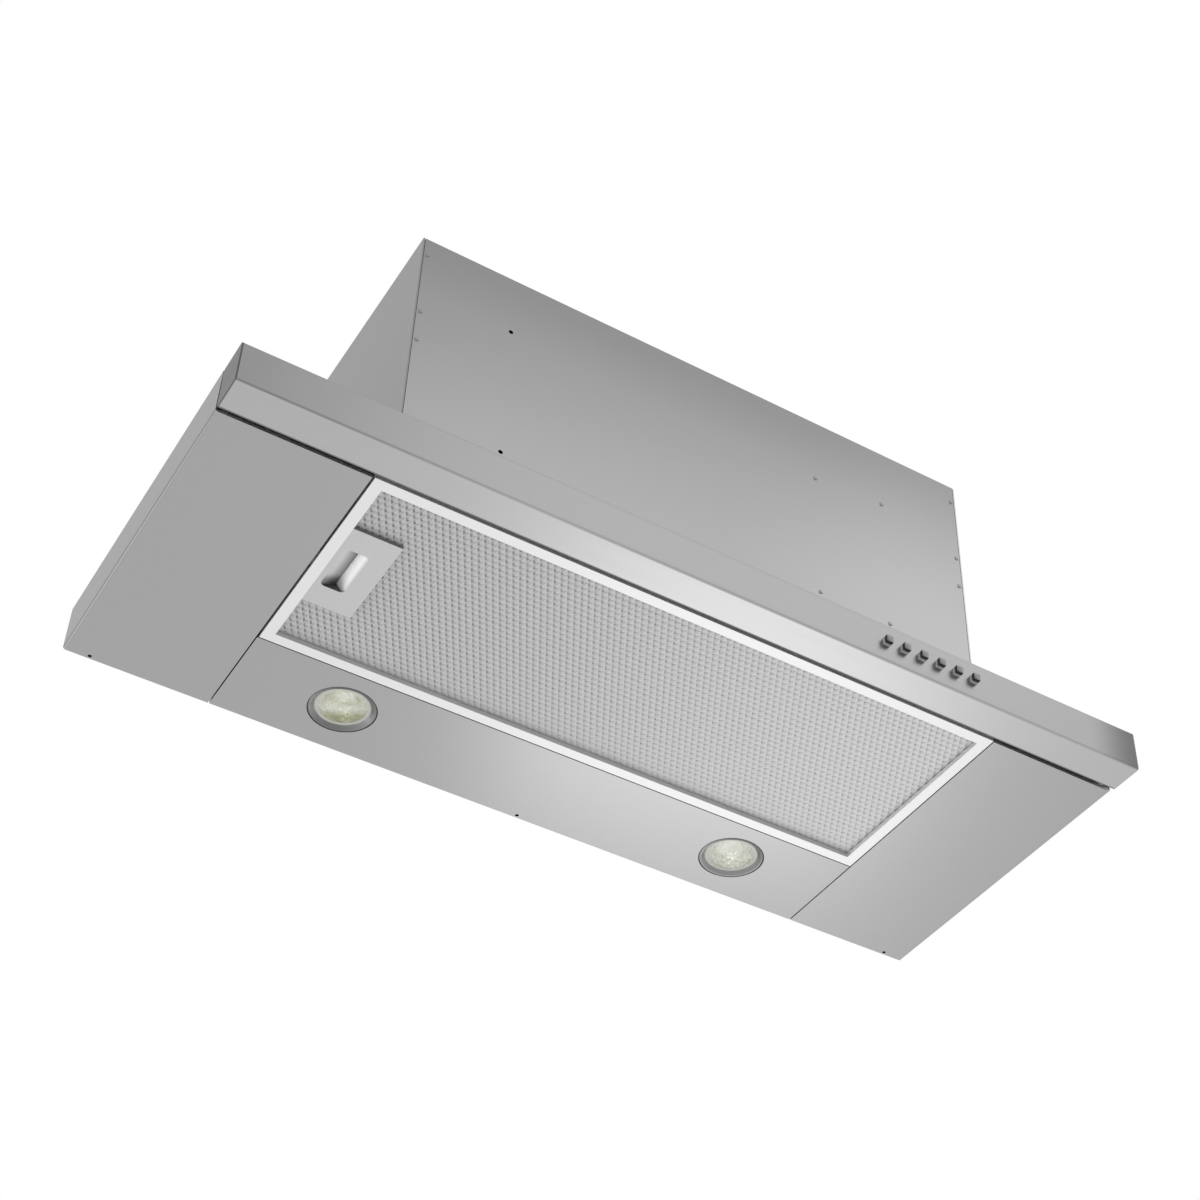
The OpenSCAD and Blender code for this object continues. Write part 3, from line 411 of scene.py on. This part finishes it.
def button_plastic(name, face, flank):
    """Moulding with flanks of near-black painted shade that goes over to light grey at
    the root, and a grey front with painted shade at its lower left corner that fades
    towards its upper right corner. face and flank are grey levels."""
    root_part, corner_shade_part = (BUTTON_Y + 0.0022, BUTTON_Y + 0.0046), (0.001, 0.009)
    root_level, corner_level = 205, flank + 30
    t = Tree(name)
    fine = t.noise(FINE_GRAIN, detail=3, rough=0.6)
    # The flanks' painted shade goes over to light grey at the root
    root = t.ramp(t.place("Y"), root_part, (0, 1))
    steps = t.times(t.minus(t.place("X"), BUTTON_X), 1 / BUTTON_STEP)
    right = t.times(t.math("FRACT", steps), BUTTON_STEP)
    up = t.minus(t.place("Z"), BUTTON_Z)
    # Painted shade at the front's lower left corner, fading towards its upper right
    corner_shade_fade = t.ramp(t.plus(right, up), corner_shade_part, (0, 1))
    colour = t.mix(t.facing("Y"), t.mix(root, grey(flank), grey(root_level)),
                   t.mix(corner_shade_fade, grey(corner_level), grey(face)))
    t.shader(Base_Color=t.tint(colour, t.ramp(fine, NOISE_SPAN, around(1, 0.06))),
             Roughness=t.ramp(fine, NOISE_SPAN, (0.5, 0.62)))
    t.bump(fine, 0.15, PORE)
    return t.mat


def sides(stem):
    """The names of a left and a right piece."""
    return (stem + "_left", stem + "_right")


def give(mat, *names):
    """Puts a material in every slot of the named CAD nodes."""
    for name in names:
        obj = NODES[name]
        if not obj.material_slots:
            obj.data.materials.append(mat)
        for slot in obj.material_slots:
            slot.material = mat


# Bar and base
give(brushed("stainless_bar", 194, rough=0.33, grain=0.9, front=147,
             ends=(0.05, 0.42, 0.94), bend=0.6), "fascia_bar")
# The left cap is a darker copy of the right one's steel: painted shade
give(brushed("stainless_cap", 125, rough=0.4, along="Y", side=95, front=88),
     "fascia_cap_left")
give(brushed("stainless_cap_right", 190, rough=0.36, along="Y", side=110, front=105),
     "fascia_cap_right")
give(brushed("stainless_panel", 182, rough=0.28, grain=0.2, side=118, front=180,
             ends=(0.008, 0.6, 0.35)), *sides("end_panel"), "light_panel")
# The tray and the back plate are near-white: painted light that lightens the gap behind the
# bar
give(satin("visor_steel", 235, metal=0.1, shade=tray_shade, grain=VISOR_GRAIN),
     "visor_panel")
give(satin("back_plate_steel", 235, metal=0.1, shade=edge_shade), "fascia_back_plate")
give(plain_sheet("deck_steel", 158), *sides("deck"), "deck_front_rail",
     "deck_rear_rail", *sides("filter_bracket"))
give(plain_sheet("slide_zinc", 150, rough=0.35), *sides("outer_rail"),
     *sides("inner_rail"), *sides("ball_cage"))

# Motor housing and blower
# box_left and box_right are darker copies of the front's galvanised sheet, painted shade;
# box_right's faces across Y get painted light
give(plain_sheet("galvanised", 143, rough=0.25, spread=0.012, size=300, shade=box_shade),
     "box_front")
give(plain_sheet("galvanised_rear", 148, rough=0.3, spread=0.03, size=70), "box_rear",
     "box_top")
give(plain_sheet("galvanised_side", 130, rough=0.34, spread=0.012, size=300), "box_left")
give(plain_sheet("galvanised_right", 134, rough=0.34, spread=0.012, size=300, front=185),
     "box_right")
give(plain_sheet("galvanised_collar", 168), "duct_collar", "blower_scroll",
     "terminal_box")
give(plain_sheet("nickel", 135, rough=0.3), "visor_screws", "box_rivets")
give(plain_sheet("damper_sheet", 165), "damper_front", "damper_rear")
give(plain_sheet("shaft_steel", 180, rough=0.22), "damper_rod", "fan_shaft")
give(plain_sheet("wheel_sheet", 165), "fan_wheel")
give(plastic("motor_black", grey(52), rough=0.4), "motor")

# Controls
give(button_plastic("button_grey", face=140, flank=30), "button_power",
     "button_speed_1", "button_speed_2", "button_speed_3", "button_boost",
     "button_light")
give(plastic("black_moulding", grey(40)), "button_guide", "tact_switches")
give(plastic("green_board", (0.02, 0.12, 0.05)), "switch_board")

# Filter and lamps
give(satin("rim_aluminium", 243, metal=0.5, shade=rim_shade), "filter_frame",
     "latch_back_plate")
give(satin("latch_aluminium", 208, metal=0.7, shade=scoop_shade), "latch_plate")
give(plain_sheet("spring_steel", 140, rough=0.3), "latch_keeper", "latch_spring")
give(satin("bezel_metal", 152, metal=0.8, shade=bezel_shade, rough=(0.3, 0.4)),
     *sides("lamp_bezel"))
give(plastic("socket_cream", (0.7, 0.66, 0.55)), *sides("lamp_holder"))


# Mesh building
def mesh_object(name, verts, faces, mats, slots=None):
    """A mesh; slots gives the place in mats of each face's material."""
    data = bpy.data.meshes.new(name)
    data.from_pydata(verts, [], faces)
    for mat in mats:
        data.materials.append(mat)
    if slots:
        data.polygons.foreach_set("material_index", slots)
    bm = bmesh.new()
    bm.from_mesh(data)
    bmesh.ops.recalc_face_normals(bm, faces=bm.faces)
    bm.to_mesh(data)
    bm.free()
    obj = bpy.data.objects.new(name, data)
    scene.collection.objects.link(obj)
    return obj


# Expanded mesh

# In millimetres. Each strip zigzags along Y; STEP is from bend to bend and REACH from
# its middle line to its bends.
PITCH_X, PITCH_Y = 5.6, 10.2
STEP = PITCH_Y / 2
REACH = PITCH_X / 4
BEND_HALF = 0.08    # half the straight stretch at a bend, as a share of STEP
TRIM_LIP = 0.4      # least width of a strip that is trimmed beside the latch
CLOSE = 0.01        # points nearer than this to a cut give way to it
SAME = 1e-6         # points nearer than this are one
CORNERS = ((-1, -1), (1, -1), (1, 1), (-1, 1))

# The window that the strips fill, and the well for the latch that they stop at, which
# goes from the window's left side to just short of the plate's right side
MARGIN = 7          # from the CAD mesh's edges to the window's
PLATE_LAP = 0.3     # the strips reach this far behind the latch's plate
WELL_HALF = 23.6    # half the well's length
low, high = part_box("filter_mesh_outer")
WINDOW_X = (low.x / MM + MARGIN, high.x / MM - MARGIN)
WINDOW_Y = (low.y / MM + MARGIN, high.y / MM - MARGIN)
WELL_RIGHT = PLATE_RIGHT - PLATE_LAP
WELL_Y = (LATCH_Y - WELL_HALF, LATCH_Y + WELL_HALF)


def zigzag(centre, side):
    """A path (x, y) through the window about x = centre, that starts on one side."""
    y0, y1 = WINDOW_Y
    path = []
    for row in range(math.ceil((y1 - y0) / STEP) + 1):
        swing = side * (1 if row % 2 else -1) * REACH
        for d in (-BEND_HALF, BEND_HALF):
            y = min(max(y0 + (row + d) * STEP, y0), y1)
            if not path or y > path[-1][1] + SAME:
                path.append((centre + swing, y))
    return path


def split_run(path, cut_low, cut_high):
    """A path (x, y), y growing, cut at two values of y into three parts."""
    def at(y):
        for (xa, ya), (xb, yb) in zip(path, path[1:]):
            if ya <= y <= yb:
                return (xa + (xb - xa) * (y - ya) / (yb - ya), y)
    below = [(x, y) for x, y in path if y < cut_low - CLOSE]
    between = [(x, y) for x, y in path if cut_low + CLOSE < y < cut_high - CLOSE]
    above = [(x, y) for x, y in path if y > cut_high + CLOSE]
    return (below + [at(cut_low)], [at(cut_low)] + between + [at(cut_high)],
            [at(cut_high)] + above)


def ribbon_corners(run, i, z_mid, widths, thick, lean, trimmed):
    """The four corners of a tilted ribbon's section at the path's point i."""
    x, y = run[i]
    behind = run[max(i - 1, 0)]
    ahead = run[min(i + 1, len(run) - 1)]
    dx, dy = ahead[0] - behind[0], ahead[1] - behind[1]
    length = math.hypot(dx, dy)
    side_x, side_y = dy / length, -dx / length
    right_share = max(-1, min(1, dx / dy * STEP / REACH / 2))
    half = (widths[0] * (1 + right_share) + widths[1] * (1 - right_share)) / 4
    corners = []
    for side, face in CORNERS:
        u, v = side * half, face * thick / 2
        across = u * math.cos(lean) - v * math.sin(lean)
        up = u * math.sin(lean) + v * math.cos(lean)
        corner_x = x + side_x * across
        if trimmed:
            corner_x = max(corner_x, WELL_RIGHT + (TRIM_LIP if side > 0 else 0))
        corners.append((corner_x * MM, (y + side_y * across) * MM, (z_mid + up) * MM))
    return corners


def strip_mesh(name, z_mid, widths, thick, tilt, mats, nested=False):
    """Zigzag strips, each a tilted ribbon, as slit and stretched sheet. They touch at
    their bends, or lie side by side like shingles when nested. widths are those of the
    strands that lean right and left as y grows, mats their materials. The column on the
    well's right edge is trimmed to that edge."""
    verts, faces, slots = [], [], []
    lean = math.radians(tilt)
    half_pitch = PITCH_X / 2
    first_x = WELL_RIGHT + REACH + max(widths) / 2
    leftmost = math.ceil((WINDOW_X[0] + REACH - first_x) / half_pitch)
    rightmost = math.floor((WINDOW_X[1] - REACH - first_x) / half_pitch)
    for column in range(leftmost, rightmost + 1):
        path = zigzag(first_x + column * half_pitch, 1 if nested or column % 2 else -1)
        before, beside, after = split_run(path, *WELL_Y)
        if column >= 0:
            runs = [path]
        elif column < -1:
            runs = [before, after]
        else:
            runs = [before, after, beside]
        for run in runs:
            first = len(verts)
            for i in range(len(run)):
                verts += ribbon_corners(run, i, z_mid, widths, thick, lean, run is beside)
            for i in range(len(run) - 1):
                start = first + 4 * i
                end = start + 4
                left = run[i + 1][0] < run[i][0] - CLOSE
                for corner in range(4):
                    beyond = (corner + 1) % 4
                    faces.append((start + corner, start + beyond, end + beyond,
                                  end + corner))
                    slots.append(int(left and len(mats) > 1))
            last = first + 4 * (len(run) - 1)
            faces.append((first, first + 1, first + 2, first + 3))
            faces.append((last + 3, last + 2, last + 1, last))
            slots += [0, 0]
    return mesh_object(name, verts, faces, mats, slots)


# The strands that lean left get a darker copy of the aluminium: painted shade
outer = strip_mesh("mesh_strips_outer", z_mid=4.75, widths=(3.6, 2.2), thick=0.2, tilt=-6,
                   mats=[satin("mesh_aluminium", 215, metal=0.2, shade=mesh_shade),
                         satin("mesh_aluminium_lean_shaded", 198, metal=0.2, shade=mesh_shade)])
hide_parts("filter_mesh_outer")
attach(outer, "filter")
inner = strip_mesh("mesh_strips_inner", z_mid=5.27, widths=(3.0, 3.0), thick=0.15, tilt=-5,
                   mats=[satin("mesh_aluminium_inner", 219, metal=0.2, shade=inner_shade)],
                   nested=True)
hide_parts("filter_mesh_inner")
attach(inner, "filter")


# Lamps
def glass_material():
    """Patterned lens: fine waves over the disc, a frosted edge and a darker olive patch of
    painted shade, stronger in the left lamp."""
    clear, frosted, olive = (0.98, 0.99, 0.96), (0.8, 0.8, 0.75), (0.6, 0.6, 0.44)
    edge_ring, patch_part = (0.0175, 0.0195), (0.003, 0.011)
    middle, from_left_to_right = (-0.01, 0.01), (-0.1, 0.1)
    shade_x, shade_y = 0.5, 0.87
    t = Tree("lamp_glass")
    waves = t.noise(420, detail=2, rough=0.5)
    lamp_x = t.ramp(t.place("X"), middle, (-LAMP_X, LAMP_X))
    across = t.minus(t.place("X"), lamp_x)
    along = t.minus(t.place("Y"), LAMP_Y)
    radius = t.math("SQRT", t.plus(t.times(across, across), t.times(along, along)))
    # Painted shade: an olive patch on one side of each lens, stronger in the left lamp
    slant = t.plus(t.times(across, shade_x), t.times(along, shade_y))
    patch = t.times(t.ramp(slant, patch_part, (0, 1)),
                    t.ramp(t.place("X"), from_left_to_right, (1, 0.2)))
    colour = t.mix(t.ramp(radius, edge_ring, (0, 1)), t.mix(patch, clear, olive), frosted)
    t.shader(Base_Color=colour, Roughness=0.1, IOR=1.3,
             Transmission_Weight=t.ramp(radius, edge_ring, (1, 0.4)))
    t.bump(waves, 0.3, 0.4 * MM)
    return t.mat


def reflector_material():
    """Faceted mirror with a warm tint, and a faint emission of painted light that brightens
    the bowl.
    """
    warm, painted_glow = (1, 1, 0.97), (1, 1, 0.9)
    t = Tree("lamp_reflector")
    cloud = t.noise(90, detail=2, rough=0.5)
    distance, facet = t.cells(260)
    vary = t.times(t.ramp(cloud, NOISE_SPAN, (0.85, 1)), t.ramp(facet, (0, 1), (0.9, 1)))
    # Painted light: a faint emission brightens the bowl
    t.shader(Metallic=0.9, Emission_Color=painted_glow, Emission_Strength=0.1,
             Base_Color=t.tint(warm, vary),
             Roughness=t.ramp(cloud, NOISE_SPAN, (0.15, 0.3)))
    t.bump(distance, 0.4, 1 * MM)
    return t.mat


give(glass_material(), *sides("lamp_glass"))
give(reflector_material(), *sides("lamp_bulb"))

# Floor, world and lights

# In metres
FLOOR_HALF = 8
FLOOR_Z = -2.2

PALE = (0.86, 0.86, 0.86)
SKY_STRENGTH = 0.9


def make_floor():
    """A pale ground far below the part, with soft clouds."""
    t = Tree("floor")
    cloud = t.noise(1.5, detail=2, rough=0.5)
    t.shader(Base_Color=t.tint(PALE, t.ramp(cloud, NOISE_SPAN, around(1, 0.01))),
             Roughness=0.9)
    corners = [(x * FLOOR_HALF, y * FLOOR_HALF, FLOOR_Z) for x, y in CORNERS]
    floor = mesh_object("floor", corners, [(0, 1, 2, 3)], [t.mat])


def make_world():
    """White to the camera, to mirrors and through glass, a little less as light."""
    world = bpy.data.worlds.new("world")
    scene.world = world
    world.use_nodes = True
    tree = world.node_tree
    tree.nodes.clear()
    link = tree.links.new
    out = tree.nodes.new("ShaderNodeOutputWorld")
    mix = tree.nodes.new("ShaderNodeMixShader")
    for strength, socket in ((SKY_STRENGTH, mix.inputs[1]), (1, mix.inputs[2])):
        sky = tree.nodes.new("ShaderNodeBackground")
        sky.inputs["Color"].default_value = (1, 1, 1, 1)
        sky.inputs["Strength"].default_value = strength
        link(sky.outputs[0], socket)
    path = tree.nodes.new("ShaderNodeLightPath")
    seen = path.outputs["Is Camera Ray"]
    for ray in ("Is Glossy Ray", "Is Transmission Ray"):
        either = tree.nodes.new("ShaderNodeMath")
        either.operation = "MAXIMUM"
        link(seen, either.inputs[0])
        link(path.outputs[ray], either.inputs[1])
        seen = either.outputs[0]
    link(seen, mix.inputs[0])
    link(mix.outputs[0], out.inputs[0])


def area(name, centre, across, along, radiance):
    """Rectangular soft box: across and along are its two sides as vectors, and it
    shines to the side that along x across points to."""
    across, along = Vector(across), Vector(along)
    data = bpy.data.lights.new(name, "AREA")
    data.shape = "RECTANGLE"
    data.size, data.size_y = across.length, along.length
    data.energy = radiance * math.pi * across.length * along.length
    obj = bpy.data.objects.new(name, data)
    x, y = across.normalized(), along.normalized()
    axes = Matrix((x, y, x.cross(y))).transposed().to_4x4()
    obj.matrix_world = Matrix.Translation(centre) @ axes
    obj.visible_camera = False
    scene.collection.objects.link(obj)


make_floor()
make_world()
# Three soft boxes that the steel mirrors, and one that lights the finger recess: each
# with its centre, its two sides and its radiance
area("light_under", (0.55, 0.66, -0.8), (0.505, -0.126, 0), (-0.18, -0.728, 0), 1.05)
area("light_front", (0.55, -0.8, 0.71), (1.188, 0, 0.167), (-0.086, 0, 0.614), 0.75)
area("light_front_right", (0.85, -0.8, 1.05), (0.4, 0, 0), (0, 0, 0.3), 0.35)
area("light_scoop", (-0.95, 0.7, -0.3), (0, 0, 0.3), (0.3, 0.3, 0), 0.9)
